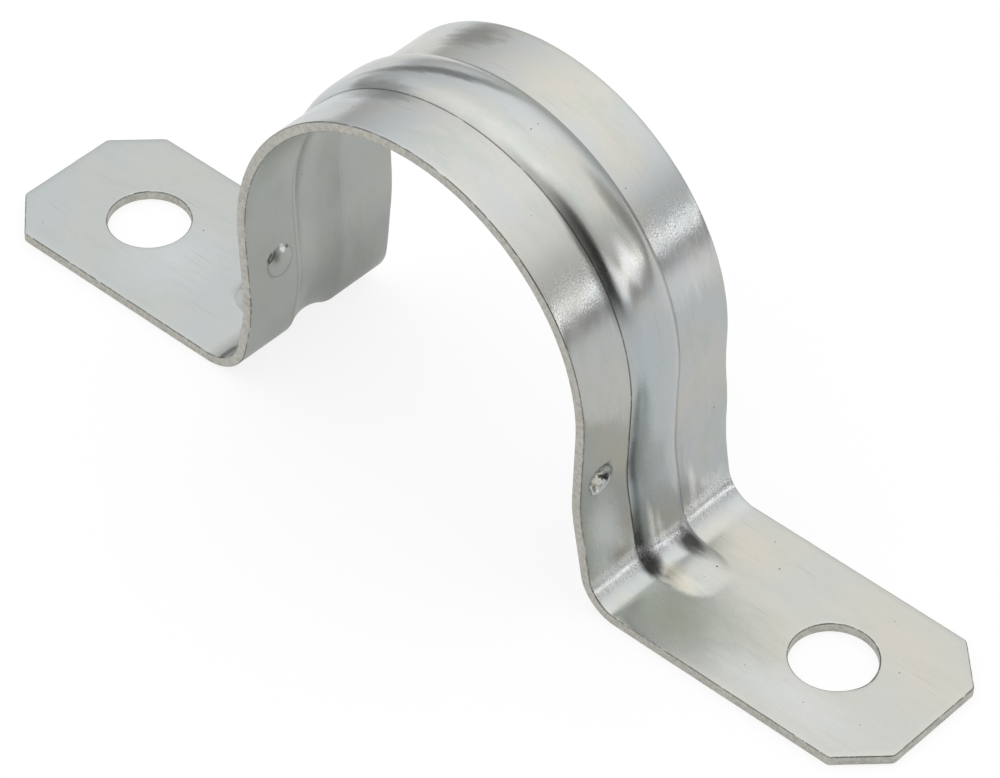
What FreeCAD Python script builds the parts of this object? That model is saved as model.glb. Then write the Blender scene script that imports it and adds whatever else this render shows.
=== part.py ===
import FreeCAD, Part
import math
import os

# Two-hole strap pressed from one strip of sheet steel, all sizes in millimetres.
# X runs along the strap from foot to foot, Y across the strip with the front edge at -Y, Z up.
# The origin is on the mounting face, midway between the two screw holes.

# Strip
strap_length = 90.4
strap_width = 16.2
sheet_thickness = 0.87
edge_break = 0.12

# Saddle over the conduit
conduit_radius = 16.7
saddle_axis_height = 16.35

# Feet
screw_spacing = 71.3
screw_hole_radius = 3.4
corner_cut = 3.45
corner_cut_round = 0.6

# Stiffening bead that runs over the saddle, down both legs and out onto both feet.
# On a foot its crown sinks along an arc, turned a few degrees past the face of the foot.
bead_offset = -0.15
bead_half_width = 2.7
bead_height = 0.65
bead_crease_round = 0.25
groove_lip_round = 0.7
run_out_start = 21.4
run_out_length = 3.3
run_out_overrun = 2.5
ridge_sink = 0.1
groove_sink = 0.5

# Each leg closes in a little under the conduit, is kicked back out and turns into its foot.
# Right leg, then left leg: angles in degrees, heights and radii in millimetres.
kick_radius = 14.0
right_leg = {"lean": 1.0, "kick_height": 10.7, "flare": 11.0, "foot_bend": 2.75}
left_leg = {"lean": 4.5, "kick_height": 9.9, "flare": 11.0, "foot_bend": 3.6}

# Punched detent in the front strip of each leg: a round dent outside and a pip inside
detent_half_width = 1.3
detent_depth = 0.45
pip_half_width = 1.4
pip_height = 0.42
pip_sink = 0.08
right_detent = {"from_front": 2.25, "height": 11.15}
left_detent = {"from_front": 3.4, "height": 11.2}

# Shear burr left on the outside of the left leg, at the front edge
burr_top_height = 10.8
burr_low_height = 8.45
burr_top_radius = 0.2
burr_low_radius = 0.8
burr_stand_off = 0.3

# Derived sizes of the bead's section
bead_radius = (bead_half_width ** 2 + bead_height ** 2) / (2.0 * bead_height)
bead_centre_level = sheet_thickness + bead_height - bead_radius
groove_radius = bead_radius - sheet_thickness

# Radius of the arc along which the crown of the bead sinks into the foot
run_out_radius = (run_out_length ** 2 + bead_height ** 2) / (2.0 * bead_height)

saddle_centre = FreeCAD.Vector(0, 0, saddle_axis_height)
across = FreeCAD.Vector(0, 1, 0)
up = FreeCAD.Vector(0, 0, 1)
front_y = -strap_width / 2.0
back_y = strap_width / 2.0


def crown_point(y, level):
    """A point of the strip's section at the top of the saddle; level counts up from the conduit."""
    return FreeCAD.Vector(0, y, saddle_axis_height + conduit_radius + level)


def straight(start, end):
    return Part.makeLine(crown_point(*start), crown_point(*end))


def arc(centre, start, end):
    """The shorter arc about a centre from one point to the other, in section coordinates."""
    radius = math.hypot(start[0] - centre[0], start[1] - centre[1])
    along = (start[0] + end[0] - 2.0 * centre[0], start[1] + end[1] - 2.0 * centre[1])
    reach = radius / math.hypot(along[0], along[1])
    middle = (centre[0] + along[0] * reach, centre[1] + along[1] * reach)
    return Part.Arc(crown_point(*start), crown_point(*middle), crown_point(*end)).toShape()


def crease_points(side):
    """Where the round in the crease beside the bead starts on the flat and ends on the bead."""
    total = bead_radius + bead_crease_round
    level = sheet_thickness + bead_crease_round
    offset = math.sqrt(total ** 2 - (level - bead_centre_level) ** 2)
    centre = (bead_offset + side * offset, level)
    on_flat = (centre[0], sheet_thickness)
    share = bead_radius / total
    on_bead_y = bead_offset + side * offset * share
    on_bead_level = bead_centre_level + (level - bead_centre_level) * share
    return centre, on_flat, (on_bead_y, on_bead_level)


def lip_points(side):
    """Where the rounded lip of the groove under the bead starts on the flat and ends in the groove."""
    total = groove_radius + groove_lip_round
    offset = math.sqrt(total ** 2 - (groove_lip_round - bead_centre_level) ** 2)
    centre = (bead_offset + side * offset, groove_lip_round)
    on_flat = (centre[0], 0.0)
    share = groove_radius / total
    in_groove_y = bead_offset + side * offset * share
    in_groove_level = bead_centre_level + (groove_lip_round - bead_centre_level) * share
    return centre, on_flat, (in_groove_y, in_groove_level)


def bead_outline():
    """The outer face over the bead, from flat to flat: front crease, crown, back crease."""
    centre = (bead_offset, bead_centre_level)
    front_crease, front_flat, front_bead = crease_points(-1)
    back_crease, back_flat, back_bead = crease_points(1)
    edges = [
        arc(front_crease, front_flat, front_bead),
        arc(centre, front_bead, back_bead),
        arc(back_crease, back_bead, back_flat),
    ]
    return front_flat, back_flat, edges


def groove_outline():
    """The inner face under the bead, from flat to flat: front lip, roof, back lip."""
    centre = (bead_offset, bead_centre_level)
    front_lip, front_under, front_groove = lip_points(-1)
    back_lip, back_under, back_groove = lip_points(1)
    edges = [
        arc(front_lip, front_under, front_groove),
        arc(centre, front_groove, back_groove),
        arc(back_lip, back_groove, back_under),
    ]
    return front_under, back_under, edges


def strip_section():
    """The strip's full section at the top of the saddle: two flat strips with the bead between."""
    front_flat, back_flat, bead = bead_outline()
    front_under, back_under, groove = groove_outline()
    inset = edge_break
    top = sheet_thickness
    front = front_y
    back = back_y
    upper = [
        straight((front, top - inset), (front + inset, top)),
        straight((front + inset, top), front_flat),
    ]
    round_back_edge = [
        straight(back_flat, (back - inset, top)),
        straight((back - inset, top), (back, top - inset)),
        straight((back, top - inset), (back, inset)),
        straight((back, inset), (back - inset, 0.0)),
        straight((back - inset, 0.0), back_under),
    ]
    round_front_edge = [
        straight(front_under, (front + inset, 0.0)),
        straight((front + inset, 0.0), (front, inset)),
        straight((front, inset), (front, top - inset)),
    ]
    return Part.Face(Part.Wire(upper + bead + round_back_edge + groove[::-1] + round_front_edge))


def leg_frame(leg):
    """Start of the straight leg on the conduit side, its downward direction and outward normal."""
    lean = math.radians(leg["lean"])
    outward = FreeCAD.Vector(math.cos(lean), 0, -math.sin(lean))
    downward = FreeCAD.Vector(-math.sin(lean), 0, -math.cos(lean))
    start = saddle_centre + outward * conduit_radius
    return start, downward, outward


def on_leg(leg, height, y, level):
    """A point beside the straight leg, at a height above the mounting face."""
    start, downward, outward = leg_frame(leg)
    travel = (start.z - height) / math.cos(math.radians(leg["lean"]))
    point = start + downward * travel + outward * level
    return FreeCAD.Vector(point.x, y, point.z)


def turned(section, centre, angle):
    """The solid swept by turning a section about an axis across the strip, and the end section."""
    return section.revolve(centre, across, angle), section.rotated(centre, across, angle)


def pushed(section, travel):
    """The solid swept by pushing a section straight on, and the end section."""
    return section.extrude(travel), section.translated(travel)


def leg_strip(leg):
    """One leg, its bend and the start of its foot, on the +X side."""
    lean = leg["lean"]
    flare = math.radians(leg["flare"])
    start, downward, outward = leg_frame(leg)
    section = strip_section().rotated(saddle_centre, across, 90.0 + lean)

    # Straight leg down to the kick
    leg_travel = (start.z - leg["kick_height"]) / math.cos(math.radians(lean))
    upper_leg, section = pushed(section, downward * leg_travel)

    # The kick turns the leg outward about an axis outside it
    to_kick_axis = sheet_thickness + kick_radius
    kick_start = start + downward * leg_travel
    kick_axis = kick_start + outward * to_kick_axis
    kick, section = turned(section, kick_axis, -(lean + leg["flare"]))

    # Flared leg, as long as it takes for the foot to end on the mounting face
    flared_out = FreeCAD.Vector(math.cos(flare), 0, math.sin(flare))
    flared_down = FreeCAD.Vector(math.sin(flare), 0, -math.cos(flare))
    flare_start = kick_axis - flared_out * to_kick_axis
    to_bend_axis = sheet_thickness + leg["foot_bend"]
    flare_travel = (flare_start.z - to_bend_axis * (1.0 - math.sin(flare))) / math.cos(flare)
    lower_leg, section = pushed(section, flared_down * flare_travel)

    # Bend into the foot, then flat as far as the start of the bead's run-out
    bend_axis = flare_start + flared_down * flare_travel + flared_out * to_bend_axis
    foot_bend, section = turned(section, bend_axis, -(90.0 - leg["flare"]))
    foot_start, section = pushed(section, FreeCAD.Vector(run_out_start - bend_axis.x, 0, 0))
    return [upper_leg, kick, lower_leg, foot_bend, foot_start]


def run_out(outline, sink):
    """An outline of the bead on the foot, closed a little below, that sinks along an arc.

    The arc lies in the plane of the crown of the bead, so the bead grows lower and narrower
    and ends in a rounded nose, while its two faces stay one sheet thickness apart.
    """
    start, end, edges = outline
    below_start = (start[0], start[1] - sink)
    below_end = (end[0], end[1] - sink)
    closing = [
        straight(end, below_end),
        straight(below_end, below_start),
        straight(below_start, start),
    ]
    profile = Part.Face(Part.Wire(edges + closing))
    profile.translate(FreeCAD.Vector(run_out_start, 0, -saddle_axis_height - conduit_radius))
    axis_level = sheet_thickness + bead_height - run_out_radius
    axis = FreeCAD.Vector(run_out_start, 0, axis_level)
    angle = math.degrees(math.asin(run_out_length / run_out_radius)) + run_out_overrun
    return profile.revolve(axis, across, angle)


def foot_plate():
    """The flat foot on the +X side: cut corners, broken edges, screw hole and the bead's run-out."""
    tip = strap_length / 2.0
    outline = [
        FreeCAD.Vector(run_out_start, front_y, 0),
        FreeCAD.Vector(tip - corner_cut, front_y, 0),
        FreeCAD.Vector(tip, front_y + corner_cut, 0),
        FreeCAD.Vector(tip, back_y - corner_cut, 0),
        FreeCAD.Vector(tip - corner_cut, back_y, 0),
        FreeCAD.Vector(run_out_start, back_y, 0),
    ]
    plate = Part.Face(Part.makePolygon(outline + outline[:1])).extrude(up * sheet_thickness)
    corners = [edge for edge in plate.Edges if is_upright(edge) and is_past_leg(edge)]
    plate = plate.makeFillet(corner_cut_round, corners)
    rims = [edge for edge in plate.Edges if is_level(edge) and is_past_leg(edge)]
    plate = plate.makeChamfer(edge_break, rims)
    hole_centre = FreeCAD.Vector(screw_spacing / 2.0, 0, 0)
    plate = plate.cut(Part.makeCylinder(screw_hole_radius, sheet_thickness, hole_centre))
    hole_rims = [edge for edge in plate.Edges if is_hole_rim(edge)]
    plate = plate.makeChamfer(edge_break, hole_rims)
    ridge = run_out(bead_outline(), ridge_sink)
    groove = run_out(groove_outline(), groove_sink)
    return plate.fuse(ridge).cut(groove)


def is_upright(edge):
    return edge.BoundBox.ZLength > sheet_thickness / 2.0


def is_level(edge):
    return edge.BoundBox.ZLength < edge_break


def is_past_leg(edge):
    """True for an edge of the foot that doesn't lie in the plane where the leg's strip ends."""
    return edge.BoundBox.XMax > run_out_start + corner_cut_round


def is_hole_rim(edge):
    """True for the two closed circles where the screw hole meets the faces of the foot."""
    if not edge.isClosed() or not is_level(edge):
        return False
    return abs(edge.BoundBox.XLength - 2.0 * screw_hole_radius) < edge_break


def cap_radius(half_width, depth):
    """Radius of the ball whose cap has this half width and this depth."""
    return (half_width ** 2 + depth ** 2) / (2.0 * depth)


def punched(solid, leg, detent):
    """The solid with a leg's detent: the pip is added inside, then the dent is cut outside."""
    y = front_y + detent["from_front"]
    inward = leg_frame(leg)[2] * -1.0
    pip_ball = cap_radius(pip_half_width, pip_height)
    pip_rim = math.degrees(math.asin(1.0 - (pip_height + pip_sink) / pip_ball))
    pip_middle = on_leg(leg, detent["height"], y, pip_ball - pip_height)
    pip = Part.makeSphere(pip_ball, pip_middle, inward, pip_rim, 90.0, 360.0)
    dent_ball = cap_radius(detent_half_width, detent_depth)
    dent_middle = on_leg(leg, detent["height"], y, sheet_thickness + dent_ball - detent_depth)
    dent = Part.makeSphere(dent_ball, dent_middle)
    return solid.fuse(pip).cut(dent)


def shear_burr(leg):
    """A drop-shaped burr on the outer face at the front edge, trimmed flush with the edge."""
    top = on_leg(leg, burr_top_height, front_y, sheet_thickness - burr_top_radius)
    low = on_leg(leg, burr_low_height, front_y, sheet_thickness + burr_stand_off)
    drop = Part.makeCone(burr_top_radius, burr_low_radius, (low - top).Length, top, low - top)
    drop = drop.fuse([Part.makeSphere(burr_top_radius, top), Part.makeSphere(burr_low_radius, low)])
    size = 10.0 * burr_low_radius
    behind = Part.makeBox(size, size, size, low - FreeCAD.Vector(size / 2.0, 0, size / 2.0))
    return drop.common(behind)


def leg_and_foot(leg, detent):
    """One leg with its foot and detent, built on the +X side."""
    pieces = leg_strip(leg)
    whole = pieces[0].fuse(pieces[1:] + [foot_plate()]).removeSplitter()
    return punched(whole, leg, detent)


def saddle():
    """The arch over the conduit, from the start of the left leg to the start of the right leg."""
    left_end = strip_section().rotated(saddle_centre, across, -90.0 - left_leg["lean"])
    return left_end.revolve(saddle_centre, across, 180.0 + left_leg["lean"] + right_leg["lean"])


right_part = leg_and_foot(right_leg, right_detent)
left_part = leg_and_foot(left_leg, left_detent).fuse(shear_burr(left_leg))
left_part = left_part.mirror(FreeCAD.Vector(0, 0, 0), FreeCAD.Vector(1, 0, 0))
strap = saddle().fuse([right_part, left_part]).removeSplitter()
if len(strap.Solids) == 1:
    strap = strap.Solids[0]

os.makedirs("parts", exist_ok=True)
strap.exportStep("parts/strap.step")
box = strap.optimalBoundingBox()
print("solids", len(strap.Solids), "valid", strap.isValid(), "faces", len(strap.Faces))
print("volume mm3", round(strap.Volume, 1))
print("x", round(box.XMin, 3), round(box.XMax, 3))
print("y", round(box.YMin, 3), round(box.YMax, 3))
print("z", round(box.ZMin, 3), round(box.ZMax, 3))
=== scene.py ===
# %% [markdown]
# # Two-hole conduit strap, pressed from zinc-plated sheet steel
#
# The CAD model comes in as a fixed frame. It has the right form but only as many facets as
# a solid needs, and bright metal shows every facet in its reflections. So the sheet is laid
# again here as one fine surface with the same sizes, and most of the work is in its finish.

# %% Load the frame
import math

import bmesh
import bpy
import numpy as np
from mathutils import Matrix, Vector


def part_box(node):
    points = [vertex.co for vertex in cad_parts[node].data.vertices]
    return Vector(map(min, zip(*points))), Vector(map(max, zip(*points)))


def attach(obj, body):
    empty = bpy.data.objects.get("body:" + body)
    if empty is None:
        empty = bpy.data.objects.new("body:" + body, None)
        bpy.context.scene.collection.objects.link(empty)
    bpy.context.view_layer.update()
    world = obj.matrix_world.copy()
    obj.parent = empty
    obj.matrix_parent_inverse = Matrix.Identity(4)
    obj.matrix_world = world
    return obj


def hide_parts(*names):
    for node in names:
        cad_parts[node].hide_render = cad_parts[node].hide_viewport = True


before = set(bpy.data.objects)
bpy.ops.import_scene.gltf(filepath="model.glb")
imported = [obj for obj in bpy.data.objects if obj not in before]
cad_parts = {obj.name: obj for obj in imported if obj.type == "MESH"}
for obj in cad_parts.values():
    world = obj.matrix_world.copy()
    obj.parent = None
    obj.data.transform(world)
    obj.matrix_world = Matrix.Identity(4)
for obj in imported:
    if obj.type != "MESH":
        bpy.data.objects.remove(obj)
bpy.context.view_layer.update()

# %% [markdown]
# ## Sizes
#
# All sizes are in millimetres until a piece is finished, because a strap's drawing is.
# Length and width are read from the CAD node. The others are the drawing's own sizes.

# %% Name the strap's sizes
MM = 0.001
low_corner, high_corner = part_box("strap")
strap_length = (high_corner.x - low_corner.x) / MM
strap_width = (high_corner.y - low_corner.y) / MM
sheet_thickness = 0.87
edge_break = 0.12

conduit_radius = 16.7
saddle_axis_height = 16.35

hole_centre_reach = 71.3 / 2
hole_radius = 3.4
corner_cut = 3.45
corner_cut_round = 0.6

bead_offset = -0.15
bead_half_width = 2.7
bead_height = 0.64
bead_fullness = 4.0
groove_lip_round = 0.7
run_out_start = 21.4
run_out_length = 3.3
run_out_lead = 0.8
bead_run_in_softness = 0.05
nose_softness = 0.16
nose_softening_length = 1.5
bead_border_rise = 0.03

kick_radius = 14.0
right, left = 1, -1
legs = {
    right: {"lean": 1.0, "kick_height": 10.7, "flare": 11.0, "foot_bend": 2.75},
    left: {"lean": 4.5, "kick_height": 9.9, "flare": 11.0, "foot_bend": 3.6},
}
print(f"strap {strap_length:.1f} x {strap_width:.1f} mm, sheet {sheet_thickness} mm")

# %% [markdown]
# ## The line that the strip follows
#
# Seen from the front, the strip is a chain of straight runs and round bends: half of the
# saddle, a leg that closes in a little, a kick back outward, a short flared run, the bend
# into the foot, and the foot. Such a chain could be a Blender curve, but a formula gives
# the exact place and direction after any length of travel, for all lengths at once.

# %% Follow a chain of runs and bends
def along_chain(pieces, travel):
    """Places and headings after each travel along a chain of (length, turn) pieces.

    The chord of a bend is its length times the sine of half its turn over half its turn,
    and it points halfway between the headings at its two ends. A straight run has no turn.
    """
    lengths, turns = np.array(pieces, float).T
    starts = np.concatenate([[0.0], np.cumsum(lengths)])
    headings = np.concatenate([[0.0], np.cumsum(turns)])
    chords = lengths * np.sinc(turns / (2 * np.pi))
    aims = headings[:-1] + turns / 2
    steps = np.stack([chords * np.cos(aims), chords * np.sin(aims)], 1)
    knots = np.concatenate([np.zeros((1, 2)), np.cumsum(steps, 0)])
    piece = np.clip(np.searchsorted(starts, travel, side="right") - 1, 0, len(lengths) - 1)
    part = travel - starts[piece]
    turn = turns[piece] * part / lengths[piece]
    chord = part * np.sinc(turn / (2 * np.pi))
    aim = headings[piece] + turn / 2
    places = knots[piece] + np.stack([chord * np.cos(aim), chord * np.sin(aim)], 1)
    return places, headings[piece] + turn


def leg_chain(leg):
    """The chain from the top of the saddle to the tip of the foot, along the inner face.

    The flared run is as long as it takes for the bend to end on the mounting face.
    """
    lean, flare = math.radians(leg["lean"]), math.radians(leg["flare"])
    leg_start = saddle_axis_height - conduit_radius * math.sin(lean)
    leg_run = (leg_start - leg["kick_height"]) / math.cos(lean)
    kick = sheet_thickness + kick_radius
    bend = sheet_thickness + leg["foot_bend"]
    kick_drop = kick * (math.sin(lean) + math.sin(flare))
    flare_start = leg["kick_height"] - kick_drop
    flare_run = (flare_start - bend * (1 - math.sin(flare))) / math.cos(flare)
    pieces = [
        (conduit_radius * (math.pi / 2 + lean), -(math.pi / 2 + lean)),
        (leg_run, 0.0),
        (kick * (lean + flare), lean + flare),
        (flare_run, 0.0),
        (bend * (math.pi / 2 - flare), math.pi / 2 - flare),
    ]
    bend_end = along_chain(pieces, np.array([sum(length for length, turn in pieces)]))[0][0, 0]
    return pieces + [(strap_length / 2 - bend_end, 0.0)]


chains = {side: leg_chain(leg) for side, leg in legs.items()}
tips = {side: sum(length for length, turn in chain) for side, chain in chains.items()}
print("sheet length from tip to tip before folding:", round(sum(tips.values()), 2), "mm")

# %% [markdown]
# ## The flat blank
#
# Every point of the strap is named by its place in the flat blank: travel along the strip
# from the top of the saddle, place across, and level above the conduit side of the sheet.
# Shapes pressed into the sheet are then simple changes of level, and the place in the blank
# is kept on the mesh, so that rolling marks and stains follow the metal round the bends.
#
# The press pinched the legs less at the back than at the front. A shape with a twist like
# that is hard to sweep but easy to fold: the back half just stands out a little from the line.

# %% Fold the blank
# How far each leg's back edge stands out at most, and at which height
bows = {right: {"out": 0.50, "height": 9.8}, left: {"out": 0.40, "height": 7.6}}
bow_length = 3.1


def leg_bow(travel, across):
    """How far the back of each leg stands out: a bell down the leg times a soft rise across."""
    share = np.clip(2 * across / strap_width, 0, 1)
    rise = share * share * (3 - 2 * share)
    bells = 0.0
    for side, bow in bows.items():
        away = (travel - travel_at_height(side, bow["height"])) / bow_length
        bells = bells + bow["out"] * np.exp(-away ** 2)
    return bells * rise


def fold(travel, across, level):
    """Turns places in the flat blank into points in space.

    The chain gives the point on the inner face and the outward normal, which is its heading
    turned a quarter turn. The point is moved along that normal by its level and the leg's bow.
    """
    travel, across, level = np.broadcast_arrays(travel, across, level)
    level = level + leg_bow(travel, across)
    points = np.zeros(travel.shape + (3,))
    for side, chain in chains.items():
        mine = (travel >= 0) if side == right else (travel < 0)
        places, headings = along_chain(chain, np.abs(travel[mine]))
        points[mine, 0] = side * (places[:, 0] - np.sin(headings) * level[mine])
        points[mine, 2] = places[:, 1] + np.cos(headings) * level[mine]
    points[..., 1] = across
    points[..., 2] += saddle_axis_height + conduit_radius
    return points


def travel_at_height(side, height):
    """The travel at which the straight leg passes a height above the mounting face."""
    lean = math.radians(legs[side]["lean"])
    leg_start = saddle_axis_height - conduit_radius * math.sin(lean)
    down = (leg_start - height) / math.cos(lean)
    return side * (conduit_radius * (math.pi / 2 + lean) + down)


def travel_at_reach(side, reach):
    """The travel of a point on the foot, from its distance beside the middle of the strap."""
    return side * (tips[side] - (strap_length / 2 - reach))


print("travel to the two tips:", {side: round(tip, 2) for side, tip in tips.items()}, "mm")

# %% [markdown]
# ## The bead
#
# A rounded bead runs along the strip to stiffen it. An arc would do for its outer face, but
# the real crest is flatter and the flanks are steeper, with a tight crease on each side,
# which a fourth power gives. The inner face is an arc with a soft lip. On each foot the
# whole bead turns down about an axis below the foot, so it gets lower and narrower until it
# is lost in the flat sheet. The turn starts a little before the end of the bend, because
# the press leaves no sharp start there.

# %% Give the bead's two faces
bead_radius = (bead_half_width ** 2 + bead_height ** 2) / (2 * bead_height)
bead_centre = sheet_thickness + bead_height - bead_radius
groove_radius = bead_radius - sheet_thickness
sinking_length = run_out_length + run_out_lead
sinking_radius = (sinking_length ** 2 + bead_height ** 2) / (2 * bead_height)
sinking_axis = sheet_thickness + bead_height - sinking_radius


def arc_over_flat(distance, radius, centre, fillet):
    """Height of an arc that runs into a flat face through a tangent round, and its reach.

    The arc's circle has its centre at a level below the flat. The round's circle touches
    both, so its centre is both radii away from the arc's centre and one radius off the flat.
    """
    reach = math.sqrt((radius + fillet) ** 2 - (fillet - centre) ** 2)
    touch = reach * radius / (radius + fillet)
    arc = np.sqrt(np.maximum(radius ** 2 - distance ** 2, 0)) + centre
    gap = np.clip(reach - distance, 0, fillet)
    round_part = fillet - np.sqrt(np.maximum(fillet ** 2 - gap ** 2, 0))
    return np.where(distance < touch, arc, round_part), reach


def groove_rise(distance):
    """Height and reach of the groove's roof: the bead's arc, one sheet thickness smaller."""
    return arc_over_flat(distance, groove_radius, bead_centre, groove_lip_round)


def run_out_travel(travel):
    """How far a travel has gone into the run-out of the bead, on either foot."""
    gone = np.zeros_like(travel)
    for side in chains:
        start = travel_at_reach(side, run_out_start - run_out_lead)
        gone = np.maximum(gone, side * (travel - start))
    return gone


def bead_rise(distance):
    """Height of the bead's outer face: full, less the fourth power of the way to its side."""
    # Held past the side, where the sheet is flat
    share = np.minimum(distance / bead_half_width, 1.2)
    full = bead_height * (1 - share ** bead_fullness)
    return soft_highest(np.zeros_like(distance), full, bead_run_in_softness)


def soft_highest(first, second, softness):
    """The higher of two levels, with a rounded change from one to the other."""
    share = np.clip(0.5 + 0.5 * (second - first) / softness, 0, 1)
    return first + share * (second - first) + softness * share * (1 - share)


def turned_down(face, rise, gone):
    """A face of the sheet whose bead turns down about the sinking axis, never below the flat.

    A point keeps its distance from the axis, so its new level over the axis is the root of
    that distance squared less the way gone squared.
    """
    arm = face + rise - sinking_axis
    level = sinking_axis + np.sqrt(np.maximum(arm ** 2 - gone ** 2, 0))
    softness = 0.001 + nose_softness * np.clip(gone / nose_softening_length, 0, 1) ** 2
    lifted = soft_highest(np.full_like(level, face), level, softness)
    return face + (lifted - face) * np.clip(rise / bead_border_rise, 0, 1)


crease_touch, crease_reach = bead_half_width - 0.12, bead_half_width + 0.14
lip_reach = groove_rise(np.zeros(1))[1]
print(f"bead {2 * crease_reach:.2f} mm wide outside, groove {2 * lip_reach:.2f} mm inside")

# %% [markdown]
# ## Detents and burr
#
# A ball-nosed punch has left a round dent in the front strip of each leg, with a pip inside.
# The dent on the right has torn a little, so its bottom is a small heap of lumps and pits.
# The left leg also carries a drop-shaped burr on its front edge. Boolean cuts would leave
# thin faces round each mark. Here each is a distance turned into a level of the same grid.

# %% Give the pressed marks
detent_half_width = 1.3
detent_depth = 0.45
pip_half_width = 1.4
pip_height = 0.42
detents = {
    right: {"across": -strap_width / 2 + 2.25, "travel": travel_at_height(right, 11.15)},
    left: {"across": -strap_width / 2 + 3.4, "travel": travel_at_height(left, 11.2)},
}
burr_top = travel_at_height(left, 10.8)
burr_low = travel_at_height(left, 8.45)
burr_top_radius = 0.2
burr_low_radius = 0.8
burr_stand_off = 0.3

# Lumps and pits in the torn dent: place beside its middle (ahead, aside), size and height
torn_relief = [
    (-0.20, 0.62, 0.42, 0.24), (0.42, 0.72, 0.20, -0.34), (-0.16, 0.14, 0.17, -0.26),
    (-0.72, -0.34, 0.30, 0.10), (0.66, 0.16, 0.38, 0.17), (0.05, -0.34, 0.15, -0.20),
    (0.42, -0.88, 0.22, -0.16), (0.86, -0.40, 0.24, -0.14), (-0.06, -0.66, 0.20, 0.14),
]
# The crack beside the left pip: its two ends beside the middle of the pip, and its half width
pip_crack = {"start": (0.66, -1.20), "end": (1.12, -0.72), "half_width": 0.07, "depth": 0.22}


def ball_cap(distance, half_width, height):
    """Height of a ball's cap of a half width, at a distance from its middle."""
    radius = (half_width ** 2 + height ** 2) / (2 * height)
    return np.maximum(np.sqrt(np.maximum(radius ** 2 - distance ** 2, 0)) - radius + height, 0)


def beside(detent, travel, across):
    """Places ahead of and aside from the middle of a detent."""
    return travel - detent["travel"], across - detent["across"]


def line_distance(ahead, aside, start, end):
    """Distance from a short straight line: to its nearest point, found by projection."""
    run = np.subtract(end, start)
    share = ((ahead - start[0]) * run[0] + (aside - start[1]) * run[1]) / (run @ run)
    share = np.clip(share, 0, 1)
    return np.hypot(ahead - start[0] - share * run[0], aside - start[1] - share * run[1])


def burr_level(travel, across):
    """Level of the drop: a circle that grows from its top to its low end and stands out more."""
    share = np.clip((travel - burr_top) / (burr_low - burr_top), 0, 1)
    radius = burr_top_radius + share * (burr_low_radius - burr_top_radius)
    rise = sheet_thickness - burr_top_radius + share * (burr_top_radius + burr_stand_off)
    past = np.maximum(burr_low - travel, 0) + np.maximum(travel - burr_top, 0)
    room = radius ** 2 - past ** 2 - (across + strap_width / 2) ** 2
    return np.where(room > 0, rise + np.sqrt(np.maximum(room, 0)), 0)


def outer_level(travel, across):
    """Level of the outer face: the sheet and its bead, less the dents, and never below the burr."""
    rise = bead_rise(np.abs(across - bead_offset))
    level = turned_down(sheet_thickness, rise, run_out_travel(travel))
    for detent in detents.values():
        distance = np.hypot(*beside(detent, travel, across))
        level = level - ball_cap(distance, detent_half_width, detent_depth)
    ahead, aside = beside(detents[right], travel, across)
    inside = np.clip(4 * (1 - np.hypot(ahead, aside) / detent_half_width), 0, 1)
    for lump_ahead, lump_aside, size, height in torn_relief:
        away = np.hypot(ahead - lump_ahead, aside - lump_aside) / size
        level = level + inside * height * np.exp(-away ** 2)
    return np.maximum(level, burr_level(travel, across))


def inner_level(travel, across):
    """Level of the inner face: the groove under the bead, less the pips that stand in from it."""
    rise = groove_rise(np.abs(across - bead_offset))[0]
    level = turned_down(0.0, rise, run_out_travel(travel))
    for detent in detents.values():
        distance = np.hypot(*beside(detent, travel, across))
        level = level - ball_cap(distance, pip_half_width, pip_height)
    ahead, aside = beside(detents[left], travel, across)
    away = line_distance(ahead, aside, pip_crack["start"], pip_crack["end"])
    return level + pip_crack["depth"] * np.exp(-(away / pip_crack["half_width"]) ** 2)


print("detents at travel", [round(detent["travel"], 1) for detent in detents.values()], "mm")

# %% [markdown]
# ## Where the surface needs points
#
# A grid that is fine everywhere would have several times the faces. So rows of points lie
# close together in the bends, round the dents and at the noses, and far apart where the
# strip is plain. Across the strip they crowd at the creases of the bead.

# %% Choose the rows and the places across
def spread(stops, steps):
    """Places between each pair of stops, with a largest step for each pair."""
    runs = [
        np.linspace(a, b, max(2, int(math.ceil(abs(b - a) / step)) + 1))[:-1]
        for a, b, step in zip(stops[:-1], stops[1:], steps)
    ]
    return np.concatenate(runs + [stops[-1:]])


join_reach = 26.6
bend_reach, nose_reach = 19.6, 25.2
detent_zone = 1.5
dents_from, dents_to = -7.4, -3.3
edge_line = strap_width / 2 - edge_break
across_places = spread(
    np.array([
        -edge_line, dents_from, dents_to,
        bead_offset - crease_reach, bead_offset - crease_touch,
        bead_offset + crease_touch, bead_offset + crease_reach, edge_line,
    ]),
    [0.30, 0.105, 0.20, 0.05, 0.19, 0.05, 0.40],
)


def half_rows(side):
    """Rows of one half: saddle, upper leg, detent, lower leg, bend and run-out, start of foot."""
    middle = abs(detents[side]["travel"])
    stops = np.array([
        0.0, middle - detent_zone, middle + detent_zone,
        *(abs(travel_at_reach(side, reach)) for reach in (bend_reach, nose_reach, join_reach)),
    ])
    return side * spread(stops, [0.50, 0.10, 0.28, 0.19, 0.5])


rows = np.concatenate([half_rows(left)[:0:-1], half_rows(right)])
print(len(rows), "rows of", len(across_places), "places on each face")

# %% [markdown]
# ## Cut edges
#
# A press tool leaves a cut edge with its two corners slightly turned. A short rounded
# profile from the outer face to the inner face stands for that, and it is used along the
# strip, round the foot and in the screw holes alike. No sheared edge is quite straight, so
# its line also wanders in by a few hundredths of a millimetre, with three deeper nicks
# beside the burr.

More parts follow.
